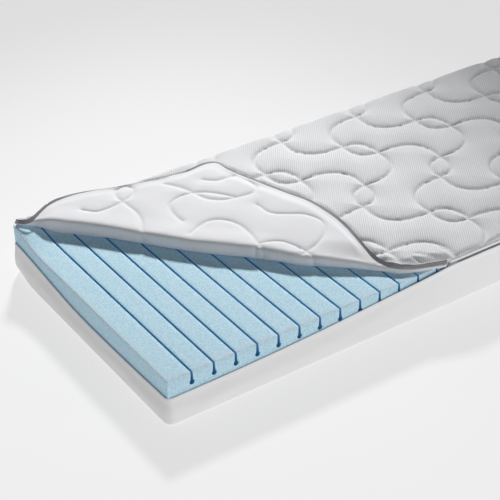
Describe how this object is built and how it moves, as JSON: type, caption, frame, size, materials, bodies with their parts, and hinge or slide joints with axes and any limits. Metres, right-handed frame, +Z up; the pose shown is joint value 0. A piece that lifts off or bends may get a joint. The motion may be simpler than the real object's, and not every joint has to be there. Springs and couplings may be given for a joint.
{
  "type": "pressure relief mattress",
  "caption": "Pressure relief mattress: slotted foam core in a zipped cover whose quilted top is folded back at one corner, with a zip slider and pull tab.",
  "frame": {"origin": "on the floor under the middle of the mattress, the bottom centre of its bounding box", "axes": "+X along the length from the foot end (the opened end) to the head end, +Y across to the back long side, +Z up"},
  "size_m": [2, 0.8996, 0.1819],
  "materials": {
    "foam": "matt open-cell foam",
    "cover_jersey": "smooth matt stretch jersey",
    "quilt_backing": "smooth matt jersey",
    "quilt_face": "fine ribbed knit, quilted",
    "edge_binding": "plain woven edge",
    "wadding": "loose polyester fibre",
    "zip_tape": "woven tape",
    "zip_coil": "satin nylon",
    "zip_metal": "satin die-cast metal"
  },
  "bodies": {
    "mattress": {"foam_core": "foam", "base_panel": "cover_jersey", "foot_side_panel": "cover_jersey", "front_side_panel": "cover_jersey", "head_side_panel": "cover_jersey", "back_side_panel": "cover_jersey", "top_face_fabric": "quilt_face", "top_wadding": "wadding", "top_backing": "quilt_backing", "top_binding": "edge_binding", "zip_tape_lower": "zip_tape", "zip_tape_upper": "zip_tape", "zip_coil_lower": "zip_coil", "zip_coil_upper": "zip_coil", "zip_stop_foot": "zip_metal", "zip_stop_head": "zip_metal", "fold_wadding": "wadding", "fold_backing": "quilt_backing"},
    "flap": {"flap_face_fabric": "quilt_face", "flap_wadding": "wadding", "flap_backing": "quilt_backing", "flap_binding": "edge_binding", "flap_zip_tape": "zip_tape", "flap_zip_coil": "zip_coil"},
    "slider": {"slider_body": "zip_metal", "slider_bridge": "zip_metal"},
    "pull_tab": {"pull_tab": "zip_metal"}
  },
  "joints": [
    {"name": "flap_fold", "type": "hinge", "parent": "mattress", "child": "flap", "pos_m": [-0.553, 0, 0.1601], "axis": [0.6762, -0.7367, 0], "range_deg": [0, 180]},
    {"name": "slider_slide", "type": "slide", "parent": "mattress", "child": "slider", "axis": [1, 0, 0], "range_m": [0, 1.02]},
    {"name": "pull_tab_swing", "type": "hinge", "parent": "slider", "child": "pull_tab", "pos_m": [-0.063, -0.4489, 0.139], "axis": [0, 0, -1], "range_deg": [0, 170]}
  ]
}
